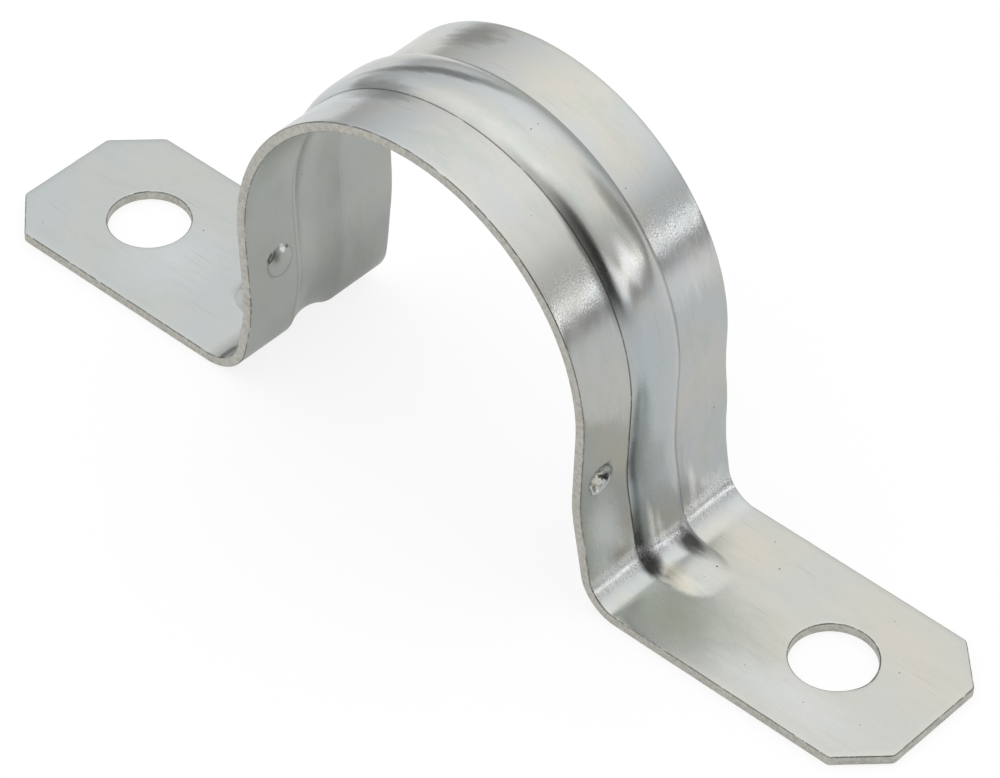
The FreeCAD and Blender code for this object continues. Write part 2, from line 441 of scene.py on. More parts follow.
# %% Make the profile of a cut edge
wander_depth = 0.011
nick_spread = 0.16
quarter = np.linspace(0, np.pi / 2, 5)
rim_out = np.concatenate([np.sin(quarter), np.cos(quarter)]) * edge_break
rim_level = np.concatenate([
    sheet_thickness - edge_break * (1 - np.cos(quarter)),
    edge_break * (1 - np.sin(quarter)),
])


def wander(place, seed, end_window):
    """How far a cut edge stands in from its true line: waves of unrelated lengths added up."""
    draw = np.random.default_rng(seed)
    lengths = np.geomspace(0.45, 7.0, 9)
    turns = draw.uniform(0, 2 * np.pi, len(lengths))
    waves = np.sin(2 * np.pi * place[..., None] / lengths + turns) * lengths ** 0.3
    return wander_depth * (1 + waves.mean(-1)) * end_window


def nicks(travel):
    """Three nicks in the front edge of the left leg, each a small bell-shaped bite."""
    bite = np.zeros_like(travel)
    for height, depth in ((9.0, 0.10), (8.1, 0.08), (6.2, 0.14)):
        away = travel - travel_at_height(left, height)
        bite = bite + depth * np.exp(-(away / nick_spread) ** 2)
    return bite


print("profile of a cut edge:", len(rim_out), "points")


# %% Collect grids of points
def grid_faces(row_count, column_count, first, ring):
    """Corner numbers of the four-sided faces of a grid of points stored row by row."""
    numbers = first + np.arange(row_count * column_count).reshape(row_count, column_count)
    if ring:
        numbers = np.concatenate([numbers, numbers[:1]], 0)
    a, b = numbers[:-1, :-1], numbers[:-1, 1:]
    c, d = numbers[1:, 1:], numbers[1:, :-1]
    return np.stack([a, b, c, d], -1).reshape(-1, 4)


class Sheet:
    """Collects grids of blank places with their share of cut edge, ready to become one mesh."""

    def __init__(self):
        """Starts empty."""
        self.points, self.blank, self.cut, self.faces, self.count = [], [], [], [], 0

    def add(self, travel, across, level, depth, cut, ring=False):
        """Adds a grid: blank places, depth in the sheet and share of cut edge.

        In a ring, the last row of points joins the first one.
        """
        travel, across, level, depth, cut = np.broadcast_arrays(travel, across, level, depth, cut)
        self.points.append(fold(travel, across, level).reshape(-1, 3))
        self.blank.append(np.stack([travel, across, depth], -1).reshape(-1, 3))
        self.cut.append(cut.reshape(-1))
        self.faces.append(grid_faces(*travel.shape, self.count, ring))
        self.count += travel.size


# %% Lay the strip between the feet
strap_sheet = Sheet()
travel, across = np.meshgrid(rows, across_places, indexing="ij")
to_foot = np.minimum(rows - rows[0], rows[-1] - rows)
front_bite = wander(rows, 3, np.clip(to_foot, 0, 1)) + nicks(rows)
back_bite = wander(rows, 4, np.clip(to_foot, 0, 1))
across[:, 0] += front_bite
across[:, -1] -= back_bite
outer = outer_level(travel, across)
inner = inner_level(travel, across)


def rim_grid(column, sign):
    """One cut edge of the strip: the rim profile, stretched where a burr lifts its outer corner."""
    edge_travel = np.broadcast_to(rows[:, None], (len(rows), len(rim_out)))
    edge = across[:, column][:, None] + sign * rim_out
    return edge_travel, edge, rim_level * outer[:, column][:, None] / sheet_thickness


strap_sheet.add(travel, across, outer, sheet_thickness, 0.0)
strap_sheet.add(travel, across, inner, 0.0, 0.0)
rim_cut = np.minimum(rim_out / edge_break, 1.0)[None, :]
strap_sheet.add(*rim_grid(0, -1), rim_level[None, :], rim_cut)
strap_sheet.add(*rim_grid(-1, 1), rim_level[None, :], rim_cut)
print("points in the strip:", strap_sheet.count)

# %% [markdown]
# ## Feet
#
# A foot has a round hole inside an outline with cut corners. A square grid can't follow
# both, so its points lie on spokes from the hole's rim to the outline. Where the foot meets
# the strip, the spokes end on the strip's own last row, which closes the seam.

# %% Lay the feet
side_step, corner_step = 0.55, 0.1


def foot_outline():
    """Places and outward directions round a foot's cut edge, seen from above, front to back."""
    turn = math.pi / 4
    cut_off = corner_cut_round * math.tan(turn / 2)
    bend = (corner_cut_round * turn, turn)
    side_run = strap_length / 2 - corner_cut - cut_off - join_reach
    slope_run = corner_cut * math.sqrt(2) - 2 * cut_off
    end_run = strap_width - 2 * corner_cut - 2 * cut_off
    runs = [side_run, slope_run, end_run, slope_run, side_run]
    pieces = [piece for run in runs for piece in ((run, 0.0), bend)][:-1]
    stops = np.concatenate([[0.0], np.cumsum([length for length, _ in pieces])])
    travel = spread(stops, [corner_step if turned else side_step for _, turned in pieces])
    places, headings = along_chain(pieces, travel)
    places = places + [join_reach, -strap_width / 2]
    bite = wander(travel, 5, np.clip(np.minimum(travel, travel[-1] - travel), 0, 1))
    outward = np.stack([np.sin(headings), -np.cos(headings)], 1)
    return places - outward * bite[:, None], outward


outline, outward = foot_outline()
inset = outline - outward * edge_break
seam_across = across_places[-2:0:-1]
seam = np.stack([np.full(len(seam_across), join_reach), seam_across], 1)
spoke_ends = np.concatenate([inset, seam])
to_end = spoke_ends - [hole_centre_reach, 0.0]
spoke_ways = to_end / np.linalg.norm(to_end, axis=1)[:, None]
# Closer together at the hole
spoke_shares = np.linspace(0, 1, 15)[None, :] ** 1.25
worn_corner = {"more": 0.22, "angle": -0.05, "spread": 0.45}


def rollover(side):
    """How far the hole's upper corner is turned: more on one stretch of the right-hand hole."""
    angle = np.arctan2(spoke_ways[:, 1], spoke_ways[:, 0])
    away = (angle - worn_corner["angle"]) / worn_corner["spread"]
    worn = np.exp(-away ** 2) if side == right else np.zeros(len(angle))
    return edge_break + worn_corner["more"] * worn


def lay_foot(side):
    """Adds one foot: its two faces, its cut edge and the wall of its hole."""
    corner = rollover(side)[:, None]
    for level, turned in ((sheet_thickness, corner), (0.0, np.full_like(corner, edge_break))):
        starts = [hole_centre_reach, 0.0] + spoke_ways * (hole_radius + turned)
        spokes = starts[:, None] + (spoke_ends - starts)[:, None] * spoke_shares[..., None]
        travel = travel_at_reach(side, spokes[..., 0])
        strap_sheet.add(travel, spokes[..., 1], level, level, 0.0, ring=True)
    edge = inset[:, None] + outward[:, None] * rim_out[None, :, None]
    travel = travel_at_reach(side, edge[..., 0])
    strap_sheet.add(travel, edge[..., 1], rim_level[None, :], rim_level[None, :], rim_cut)
    upper = np.stack([1 - np.sin(quarter), np.cos(quarter) - 1])[:, None] * corner
    lower_radii = np.tile(hole_radius + edge_break - rim_out[len(quarter):], (len(corner), 1))
    lower_levels = np.tile(rim_level[len(quarter):], (len(corner), 1))
    radii = np.concatenate([hole_radius + upper[0], lower_radii], 1)
    levels = np.concatenate([sheet_thickness + upper[1], lower_levels], 1)
    wall = [hole_centre_reach, 0.0] + spoke_ways[:, None] * radii[..., None]
    travel = travel_at_reach(side, wall[..., 0])
    strap_sheet.add(travel, wall[..., 1], levels, levels, rim_cut, ring=True)


for side in chains:
    lay_foot(side)
print("points in all:", strap_sheet.count)

# %% [markdown]
# ## One closed mesh
#
# The grids share their border points, so merging doubles closes every seam. The place in
# the blank and the share of cut edge ride along as attributes, which the finish reads.

# %% Build the mesh
merge_distance = 0.002 * MM


def build_sheet(name, sheet):
    """One closed mesh from the collected grids, smooth, with faces outward and seams merged."""
    mesh = bpy.data.meshes.new(name)
    points = np.concatenate(sheet.points) * MM
    faces = np.concatenate(sheet.faces)
    mesh.from_pydata(points, [], faces.tolist())
    blank = mesh.attributes.new("blank", "FLOAT_VECTOR", "POINT")
    blank.data.foreach_set("vector", np.concatenate(sheet.blank).astype(np.float32).ravel())
    cut = mesh.attributes.new("cut", "FLOAT", "POINT")
    cut.data.foreach_set("value", np.concatenate(sheet.cut).astype(np.float32))
    work = bmesh.new()
    work.from_mesh(mesh)
    bmesh.ops.remove_doubles(work, verts=work.verts, dist=merge_distance)
    bmesh.ops.recalc_face_normals(work, faces=work.faces)
    loose = sum(1 for edge in work.edges if not edge.is_manifold)
    work.to_mesh(mesh)
    work.free()
    mesh.shade_smooth()
    piece = bpy.data.objects.new(name, mesh)
    bpy.context.scene.collection.objects.link(piece)
    print(name, "has", len(mesh.polygons), "faces and", loose, "open edges")
    return piece


strap = build_sheet("strap_sheet", strap_sheet)
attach(strap, "root")
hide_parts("strap")

# %% [markdown]
# ## Wiring helpers
#
# Materials are built from nodes. A few short helpers keep that readable: one puts a node in
# and feeds its inputs, whether with a number or with another node's output, and the others
# stand for the kinds of node that come up all the time.

# %% Helpers that put in nodes and wire them
def feed(tree, socket, value):
    """Links another node's output into a socket, or sets the socket to a plain value."""
    if isinstance(value, bpy.types.NodeSocket):
        tree.links.new(value, socket)
    else:
        socket.default_value = value


def put(tree, kind, inputs=None, **settings):
    """Puts in a node, with its settings and with its inputs fed."""
    node = tree.nodes.new(kind)
    for name, value in settings.items():
        setattr(node, name, value)
    for name, value in (inputs or {}).items():
        feed(tree, node.inputs[name], value)
    return node


def calc(tree, operation, *values):
    """One step of arithmetic on numbers."""
    node = put(tree, "ShaderNodeMath", operation=operation)
    for socket, value in zip(node.inputs, values):
        feed(tree, socket, value)
    return node.outputs["Value"]


def times(tree, first, second):
    """The product of two numbers."""
    return calc(tree, "MULTIPLY", first, second)


def vector_calc(tree, operation, *values):
    """One step of arithmetic on points or colours."""
    node = put(tree, "ShaderNodeVectorMath", operation=operation)
    for socket, value in zip(node.inputs, values):
        feed(tree, socket, value)
    return node.outputs["Value" if operation == "LENGTH" else "Vector"]


def ramp(tree, value, low, high, to_low=0.0, to_high=1.0):
    """A smooth change between two outputs while the value goes from low to high."""
    ends = {"Value": value, "From Min": low, "From Max": high, "To Min": to_low, "To Max": to_high}
    return put(tree, "ShaderNodeMapRange", ends, interpolation_type="SMOOTHSTEP").outputs["Result"]


def between(tree, value, rise_start, rise_end, fall_start, fall_end):
    """One inside a range and zero outside it, with a smooth rise and a smooth fall."""
    rising = ramp(tree, value, rise_start, rise_end)
    return times(tree, rising, ramp(tree, value, fall_start, fall_end, 1.0, 0.0))


def mix(tree, share, first, second):
    """A colour between two colours, through the colour sockets of a mix node."""
    node = put(tree, "ShaderNodeMix", data_type="RGBA")
    for number, value in ((0, share), (6, first), (7, second)):
        feed(tree, node.inputs[number], value)
    return node.outputs[2]


def grey(tree, value):
    """A grey of a brightness."""
    channels = {"Red": value, "Green": value, "Blue": value}
    return put(tree, "ShaderNodeCombineColor", channels).outputs[0]


def vector(tree, x, y, z=0.0):
    """A vector from its parts."""
    return put(tree, "ShaderNodeCombineXYZ", {"X": x, "Y": y, "Z": z}).outputs["Vector"]


def noise(tree, point, scale, detail=2.0, roughness=0.5, distortion=0.0):
    """Cloudy noise: waves of a scale, with finer and weaker ones added as the detail grows."""
    inputs = {"Vector": point, "Scale": scale, "Detail": detail, "Roughness": roughness,
              "Distortion": distortion}
    return put(tree, "ShaderNodeTexNoise", inputs).outputs


def stretched(tree, point, along, across):
    """Strip coordinates scaled before a texture, so that its marks run along the strip."""
    return vector_calc(tree, "MULTIPLY", point, (along, across, 1.0))


def empty_material(name):
    """A new material, its node tree and its surface shader."""
    material = bpy.data.materials.new(name)
    material.use_nodes = True
    return material, material.node_tree, material.node_tree.nodes["Principled BSDF"]


def new_group(name, takes, gives):
    """A node group with named inputs and outputs, and the ends to wire them to."""
    group = bpy.data.node_groups.new(name, "ShaderNodeTree")
    for label, kind in takes.items():
        group.interface.new_socket(label, in_out="INPUT", socket_type="NodeSocket" + kind)
    for label, kind in gives.items():
        group.interface.new_socket(label, in_out="OUTPUT", socket_type="NodeSocket" + kind)
    return group, put(group, "NodeGroupInput").outputs, put(group, "NodeGroupOutput").inputs


def use_group(tree, group, **values):
    """Puts in a node group with its inputs fed, and gives its outputs."""
    node = put(tree, "ShaderNodeGroup", node_tree=group)
    for name, value in values.items():
        feed(tree, node.inputs[name.replace("_", " ")], value)
    return node.outputs


def tell(tree, made):
    """Prints what a cell has made and how many nodes the tree has by then."""
    print(made + ":", len(tree.nodes), "nodes")


# %% [markdown]
# ## Stains and painted light
#
# Bright zinc is never one even colour: it keeps smoky and yellowish patches. They could be
# painted on a picture, but an oval in the strip's own coordinates is easier to move and keeps
# its edge at any zoom. Noise that is drawn out along the strip pulls its border about, as
# rubbing does. The same ovals also paint highlights, dark reflections and shade on the strap.

# %% Make the stain group
stain, given, out = new_group(
    "stain",
    {"Point": "Vector", "Pull": "Vector", "Middle": "Vector", "Half Length": "Float",
     "Half Width": "Float", "Turn": "Float", "Ragged": "Float", "Edge": "Float"},
    {"Mask": "Float"},
)
pull = vector_calc(stain, "MULTIPLY", given["Pull"],
                   vector(stain, given["Ragged"], given["Ragged"]))
offset = vector_calc(stain, "SUBTRACT", vector_calc(stain, "ADD", given["Point"], pull),
                     given["Middle"])
straightened = put(stain, "ShaderNodeVectorRotate",
                   {"Vector": offset, "Angle": times(stain, given["Turn"], -1.0)},
                   rotation_type="Z_AXIS").outputs["Vector"]
# Half the sheet's thickness deep, so that a stain stays on its own face
stain_depth = 0.45
half_sizes = vector(stain, given["Half Length"], given["Half Width"], stain_depth)
out_share = vector_calc(stain, "LENGTH", vector_calc(stain, "DIVIDE", straightened, half_sizes))
inner_end = calc(stain, "SUBTRACT", 1.0, given["Edge"])
outer_end = calc(stain, "ADD", 1.0, given["Edge"])
feed(stain, out["Mask"], ramp(stain, out_share, inner_end, outer_end, 1.0, 0.0))
tell(stain, "stain group")

# %% [markdown]
# ## Grain, streaks and pits
#
# Plated steel has a fine pebbled grain, which breaks the border of every reflection into
# specks. It also has faint streaks from rolling and from being drawn over the press, which
# follow the strip, and scattered pits where the plating missed. All of it is too fine for
# a mesh, and noise in the strip's own coordinates has no seam and never repeats.

# %% Make the grain group
grain, given, out = new_group(
    "grain", {"Point": "Vector"}, {"Grain": "Float", "Streaks": "Float", "Waves": "Float"})
fine = noise(grain, given["Point"], 7.0, 2.0, 0.6)["Fac"]
feed(grain, out["Grain"], fine)
streak_point = stretched(grain, given["Point"], 0.10, 3.4)
feed(grain, out["Streaks"], noise(grain, streak_point, 1.0, 4.0, 0.6)["Fac"])
wave_point = stretched(grain, given["Point"], 0.5, 1.0)
feed(grain, out["Waves"], noise(grain, wave_point, 0.75, 2.0)["Fac"])
tell(grain, "grain group")

# %% Make the pit group
pit, given, out = new_group(
    "pits", {"Point": "Vector", "Scale": "Float", "Share": "Float", "Size": "Float"},
    {"Mask": "Float"})
cell_inputs = {"Vector": given["Point"], "Scale": given["Scale"]}
cells = put(pit, "ShaderNodeTexVoronoi", cell_inputs).outputs
lot = put(pit, "ShaderNodeSeparateColor", {"Color": cells["Color"]}).outputs
chosen = calc(pit, "LESS_THAN", lot["Red"], given["Share"])
size = times(pit, given["Size"], calc(pit, "ADD", lot["Green"], 0.35))
depth = ramp(pit, cells["Distance"], times(pit, size, 0.4), size, 1.0, 0.0)
feed(pit, out["Mask"], times(pit, chosen, depth))
tell(pit, "pit group")

# %% [markdown]
# ## Bright zinc
#
# The whole strap has one finish, so it has one material, which changes over the surface.
# Several materials would meet in hard lines that plating doesn't have.
# It reads two attributes that the mesh carries: the place in the flat blank, in millimetres,
# and the share of cut edge. Colour, roughness and the bump's height are built up in turn.

# %% Start the zinc material
zinc, tree, shader = empty_material("bright_zinc")
strap.data.materials.append(zinc)
shader.inputs["Metallic"].default_value = 1.0
blank_point = put(tree, "ShaderNodeAttribute", attribute_name="blank").outputs["Vector"]
cut_share = put(tree, "ShaderNodeAttribute", attribute_name="cut").outputs["Fac"]
blank_axes = put(tree, "ShaderNodeSeparateXYZ", {"Vector": blank_point}).outputs
strip_travel, strip_across, sheet_depth = (blank_axes[axis] for axis in "XYZ")
surface = use_group(tree, grain, Point=blank_point)


def clouds(along, across, scale, detail, roughness, distortion=0.0):
    """Noise in strip coordinates, which are scaled first so that it runs along the strip."""
    point = stretched(tree, blank_point, along, across)
    return noise(tree, point, scale, detail, roughness, distortion)["Fac"]


tell(tree, "start of the zinc")

# %% Cloud the zinc with cool and warm tints, and paint shade on its right half
cool_zinc = (0.625, 0.661, 0.668, 1)
warm_zinc = (0.676, 0.670, 0.630, 1)
green_zinc = (0.590, 0.640, 0.605, 1)
left_foot_zinc = (0.560, 0.600, 0.592, 1)
right_foot_zinc = (0.668, 0.660, 0.608, 1)
inner_zinc_shaded = (0.385, 0.405, 0.375, 1)
painted_shade_factor = 0.79
broad = clouds(0.7, 1.0, 0.16, 3.0, 0.55)
middling = clouds(0.45, 1.0, 0.55, 4.0, 0.6)
colour = mix(tree, ramp(tree, broad, 0.40, 0.60), cool_zinc, warm_zinc)
colour = mix(tree, ramp(tree, middling, 0.50, 0.66, 0.0, 0.6), colour, green_zinc)
on_left_foot = ramp(tree, strip_travel, -44.0, -36.0, 0.62, 0.0)
colour = mix(tree, on_left_foot, colour, left_foot_zinc)
on_right_foot = ramp(tree, strip_travel, 42.0, 47.0, 0.0, 0.75)
colour = mix(tree, on_right_foot, colour, right_foot_zinc)
# Painted shade: from the lower arch to the right bend, the colour is darkened by a fixed factor
painted_shade_band = between(tree, strip_travel, 10.0, 15.0, 39.0, 43.0)
shade = ramp(tree, painted_shade_band, 0.0, 1.0, 1.0, painted_shade_factor)
colour = vector_calc(tree, "MULTIPLY", colour, grey(tree, shade))
tell(tree, "zinc with its clouds")

# %% Darken the inner face with painted shade
on_inner = ramp(tree, sheet_depth, 0.20, 0.60, 1.0, 0.0)
on_flat_inner = times(tree, on_inner, calc(tree, "SUBTRACT", 1.0, cut_share))
# Painted shade: the flat inner face gets a darker colour than the outer face
colour = mix(tree, times(tree, on_flat_inner, 0.80), colour, inner_zinc_shaded)
tell(tree, "zinc with a dull inner face")

# %% Lay the stains
# soot_and_shade and smoke_and_shade colour real dark stains and pits, and also painted shade and
# dark reflections. pale is a painted highlight wherever it is used, blue_grey a painted reflection
# tone, and pale_blue a tint that also paints a highlight on the right leg's front strip
smoke_and_shade = (0.20, 0.20, 0.185, 1)
soot_and_shade = (0.045, 0.043, 0.040, 1)
cream = (0.760, 0.700, 0.560, 1)
blue_grey = (0.470, 0.530, 0.560, 1)
moss = (0.440, 0.490, 0.430, 1)
olive = (0.620, 0.640, 0.500, 1)
pale = (0.960, 0.965, 0.960, 1)
pale_blue = (0.800, 0.850, 0.880, 1)
# Each stain or patch of painted light or shade: tint and its share, middle (travel, across),
# half sizes, turn in degrees, raggedness and softness of the border, and the face's level
# where it is the inner one
stains_and_painted_light = {
    # Painted dark reflections on the two flanks of the bead in the right bend
    "bend, front flank": (soot_and_shade, 0.97, (42.3, -2.45), (2.2, 0.7), -2, 0.9, 0.55),
    "bend, back flank": (soot_and_shade, 0.95, (43.3, 1.35), (2.1, 0.95), 2, 1.0, 0.6),
    "crown, back strip": (smoke_and_shade, 0.6, (-6.1, 6.0), (2.2, 1.4), 10, 2.2, 0.6),
    "crown, left of the bead": (smoke_and_shade, 0.6, (-7.4, -3.2), (3.0, 1.0), 0, 2.0, 0.6),
    # Painted dark reflection in a band along the bead at the crown
    "crown, along the bead": (soot_and_shade, 0.66, (-4.4, -0.05), (5.8, 0.42), 13.4, 0.8, 0.6),
    # Painted highlights on the arch's crest and front flank
    "arch, gleam on the crest": (pale, 0.85, (15.6, -0.35), (1.5, 0.5), 2, 0.4, 0.8),
    "arch, gleam on the flank": (pale, 0.85, (16.1, -1.95), (1.6, 0.42), 4, 0.4, 0.8),
    # Painted highlight low on the right leg's front strip
    "right leg, highlight low on the front strip": (pale_blue, 0.85, (37.4, -5.9), (3.4, 1.5), 0, 0.5, 0.8),
    "right foot, beside the nose": (moss, 0.55, (50.1, -3.9), (5.0, 3.0), 10, 3.5, 0.7),
    "nose of the bead": (cream, 0.65, (45.4, -1.9), (1.6, 0.7), -10, 1.2, 0.7),
    "right foot, behind the nose": (cream, 0.35, (46.6, 4.2), (3.0, 1.8), 0, 2.0, 0.8),
    # Painted dark reflections on the arch's front flank and on the right leg's flank and crest
    "arch, front flank": (soot_and_shade, 0.72, (13.8, -2.74), (4.6, 0.58), -2, 0.7, 0.5),
    "right leg, front flank": (blue_grey, 0.8, (29.0, -2.0), (10.0, 0.85), 0, 0.9, 0.6),
    "right leg, crest": (blue_grey, 0.62, (30.0, -0.4), (9.0, 1.6), 0, 1.6, 0.7),
    # Painted highlights: two streaks on the bead above the right bend
    "right leg, streak above the bend": (pale, 0.85, (38.9, -1.5), (1.9, 0.3), 2, 0.5, 0.7),
    "right leg, streak beside it": (pale, 0.85, (40.2, -0.6), (1.8, 0.34), 4, 0.5, 0.7),
    # Painted dark reflection on the front flank above the right bend
    "right leg, foot of the crest": (smoke_and_shade, 0.45, (40.8, -1.9), (3.2, 0.35), 0, 0.7, 0.7),
    # Painted highlight on the back strip above the bend
    "back strip above the bend": (pale, 0.55, (39.0, 3.9), (1.8, 0.35), 0, 0.6, 0.7),
    # Painted dark reflection behind the arch's crest
    "arch, back of the crest": (smoke_and_shade, 0.75, (12.3, 1.1), (3.0, 0.5), 4, 0.9, 0.6),
    "right hole, turned corner": (soot_and_shade, 0.65, (62.15, -0.1), (0.16, 1.3), 0, 0.3, 0.5),
    "left leg inside, low at the back": (smoke_and_shade, 0.45, (-38.0, 4.0), (4.5, 4.5), 0, 1.5, 0.8, 0.0),
    "left leg inside, top at the front": (moss, 0.35, (-19.5, -6.5), (4.0, 1.8), 0, 1.0, 0.7, 0.0),
    "right foot, beside the hole": (cream, 0.26, (64.0, 4.2), (6.5, 2.4), -18, 3.0, 0.9),
    "right foot, ahead of the hole": (cream, 0.2, (55.5, -1.0), (3.2, 2.2), 20, 3.0, 0.9),
    "right foot, front of the hole": (pale_blue, 0.35, (59.5, -5.4), (5.0, 1.6), 0, 2.5, 0.9),
    "left foot, beside the hole": (pale_blue, 0.3, (-55.0, -2.0), (3.0, 3.6), 0, 3.0, 0.9),
    "left foot, behind the hole": (cream, 0.22, (-61.0, 5.2), (5.0, 1.8), 0, 2.5, 0.9),
    # Painted highlights on both strips of the right bend and on the arch below the back gleam
    "bend, front strip": (pale, 0.38, (40.2, -5.4), (1.5, 1.9), 0, 2.0, 0.8),
    "bend, back strip": (pale, 0.35, (40.3, 5.2), (1.2, 2.4), 0, 2.0, 0.8),
    "arch, below the back gleam": (pale, 0.35, (19.0, 5.4), (1.6, 3.2), 0, 1.5, 0.9),
    "arch, warm cloud at the back": (cream, 0.24, (3.5, 4.8), (6.0, 2.2), 0, 2.5, 0.9),
    "arch, warm cloud on the crest": (cream, 0.2, (8.5, 0.3), (4.5, 1.0), 0, 2.0, 0.9),
    "right foot, beside the bend": (olive, 0.38, (46.6, -5.3), (2.6, 1.7), 0, 2.0, 0.9),
    # Painted shade in the concave left bend
    "left bend": (smoke_and_shade, 0.85, (-43.0, -7.2), (0.5, 1.1), 0, 0.4, 0.3),
}

# One pull for all patches, stronger along the strip
drawn_point = stretched(tree, blank_point, 0.45, 2.0)
drawn = vector_calc(tree, "SUBTRACT", noise(tree, drawn_point, 1.1, 3.5, 0.62)["Color"],
                    (0.5, 0.5, 0.5))
drawn = vector_calc(tree, "MULTIPLY", drawn, (1.9, 0.7, 0.0))


def patch_mask(at, half, turn, ragged, edge, level):
    """How far each point is inside one oval patch."""
    return use_group(
        tree, stain, Point=blank_point, Pull=drawn, Middle=(*at, level),
        Half_Length=half[0], Half_Width=half[1], Turn=math.radians(turn),
        Ragged=ragged, Edge=edge,
    )["Mask"]


def lay_patch(under, tint, share, at, half, turn=0, ragged=0.15, edge=0.35, level=sheet_thickness):
    """The colour with one patch of stain, painted light or painted shade over it, and its mask."""
    mask = times(tree, patch_mask(at, half, turn, ragged, edge, level), share)
    return mix(tree, mask, under, tint), mask


any_patch_mask = 0.0
for row in stains_and_painted_light.values():
    colour, mask = lay_patch(colour, *row)
    any_patch_mask = calc(tree, "MAXIMUM", any_patch_mask, mask)
tell(tree, f"zinc with {len(stains_and_painted_light)} stains")

# %% Mark the torn dent on the right and the pip on the left
# Each mark: tint and its share, place beside the middle of the detent, half sizes
# In the torn dent, the dark marks are painted shade in its pits and under its upper rim, and the
# pale mark is a painted highlight on a lump
torn_marks = [
    (cream, 0.5, (0.1, -0.1), (0.85, 0.6)),
    (pale, 0.8, (-0.75, -0.3), (0.45, 0.28)),
    (soot_and_shade, 0.95, (0.42, 0.8), (0.24, 0.28)),
    (soot_and_shade, 0.9, (0.12, 0.36), (0.16, 0.24)),
    (soot_and_shade, 0.8, (-0.28, 0.16), (0.2, 0.12)),
    (soot_and_shade, 0.8, (0.02, -0.3), (0.16, 0.1)),
    (smoke_and_shade, 0.75, (-1.15, 0.45), (0.22, 0.55)),
    (smoke_and_shade, 0.9, (0.74, -0.98), (0.22, 0.14)),
    (smoke_and_shade, 0.9, (0.86, -0.38), (0.2, 0.16)),
]
# On the pip, the pale mark is a painted highlight on its top
pip_marks = [
    (pale, 0.95, (1.17, 0.28), (0.3, 0.26)),
    (soot_and_shade, 0.8, (1.0, 0.8), (0.14, 0.14)),
]
for side, level, marks in ((right, sheet_thickness, torn_marks), (left, 0.0, pip_marks)):
    for tint, share, (ahead, aside), half in marks:
        place = (detents[side]["travel"] + ahead, detents[side]["across"] + aside)
        colour, mask = lay_patch(colour, tint, share, place, half, level=level)
pip = (detents[left]["travel"], detents[left]["across"])
# Painted shade: a darker ring round the rim of the pip
rim_of_pip = [
    patch_mask(pip, (size, size), turn=0, ragged=0.0, edge=0.06, level=0.0)
    for size in (pip_half_width + 0.02, pip_half_width - 0.14)
]
ring = calc(tree, "SUBTRACT", rim_of_pip[0], rim_of_pip[1])
colour = mix(tree, times(tree, ring, 0.45), colour, smoke_and_shade)
tell(tree, "zinc with its marked dents")

# %% Scatter painted glints and dark specks in the bands where highlights fall
painted_dark_speck = (0.20, 0.20, 0.19, 1)
painted_glint = (0.97, 0.97, 0.96, 1)
fleck = ramp(tree, surface["Grain"], 0.40, 0.60)
clumps = clouds(0.8, 1.0, 0.9, 3.0, 0.6)
from_middle = calc(tree, "ABSOLUTE", calc(tree, "SUBTRACT", strip_across, bead_offset))
beside_bead = ramp(tree, from_middle, bead_half_width - 0.3, bead_half_width + 0.2, 0.35, 1.0)
arch_band = times(tree, between(tree, strip_travel, 12.6, 15.4, 16.6, 17.6), beside_bead)
bend_band = times(tree, between(tree, strip_travel, 39.0, 40.4, 41.8, 42.8), 1.4)
glint_and_grain_band = calc(tree, "MAXIMUM", arch_band, bend_band)
glint_and_grain_band = times(tree, glint_and_grain_band, ramp(tree, clumps, 0.36, 0.60, 0.20, 1.0))
painted_glint_share = calc(tree, "MULTIPLY_ADD", glint_and_grain_band, 0.30, 0.02)
# Painted highlight: bright and dark specks laid in colour over the highlight bands of the arch and
# the right bend; the same bands get a stronger grain bump further down
colour = mix(tree, painted_glint_share, colour, mix(tree, fleck, painted_dark_speck, painted_glint))
tell(tree, "zinc with flecks")

# %% Paint shade along the creases of the bead
crease_shade = (0.10, 0.095, 0.085, 1)
crease_place = bead_half_width + 0.03
from_crease = calc(tree, "ABSOLUTE", calc(tree, "SUBTRACT", from_middle, crease_place))
crease_line = ramp(tree, from_crease, 0.02, 0.09, 1.0, 0.0)
for fade in (
    between(tree, strip_travel, -42.0, -39.0, 40.0, 43.0),
    ramp(tree, clouds(0.5, 1.5, 1.2, 4.0, 0.6), 0.28, 0.48),
    ramp(tree, strip_across, -1.0, 1.0, 1.0, 0.5),
    calc(tree, "MULTIPLY_ADD", on_inner, -0.75, 1.0),
):
    crease_line = times(tree, crease_line, fade)
# Painted shade: a thin dark line along each crease of the bead, weaker inside and at the back
colour = mix(tree, times(tree, crease_line, 0.85), colour, crease_shade)
tell(tree, "zinc with creases")

# %% Put in pits and scratches
few_pits = use_group(tree, pit, Point=blank_point, Scale=0.9, Share=0.38, Size=0.068)["Mask"]
scratch = ramp(tree, clouds(0.16, 5.0, 1.0, 2.0, 0.5, 0.3), 0.68, 0.72)
colour = mix(tree, times(tree, few_pits, 0.75), colour, soot_and_shade)
colour = mix(tree, times(tree, scratch, 0.12), colour, smoke_and_shade)
tell(tree, "zinc with pits and scratches")

# %% Shear the cut edges
dark_steel = (0.50, 0.49, 0.44, 1)
pale_steel = (0.61, 0.60, 0.55, 1)
rim_dark_line = (0.07, 0.065, 0.055, 1)
burr_zinc = (0.66, 0.68, 0.66, 1)
torn = clouds(1.3, 0.5, 2.2, 4.0, 0.65)
sheared = mix(tree, ramp(tree, torn, 0.38, 0.58), dark_steel, pale_steel)
cut_face = ramp(tree, cut_share, 0.55, 0.95)
rim_line = between(tree, cut_share, 0.12, 0.40, 0.75, 0.98)
rim_line = times(tree, rim_line, ramp(tree, clouds(1.0, 1.0, 1.8, 4.0, 0.65), 0.32, 0.52))
colour = mix(tree, cut_face, colour, sheared)
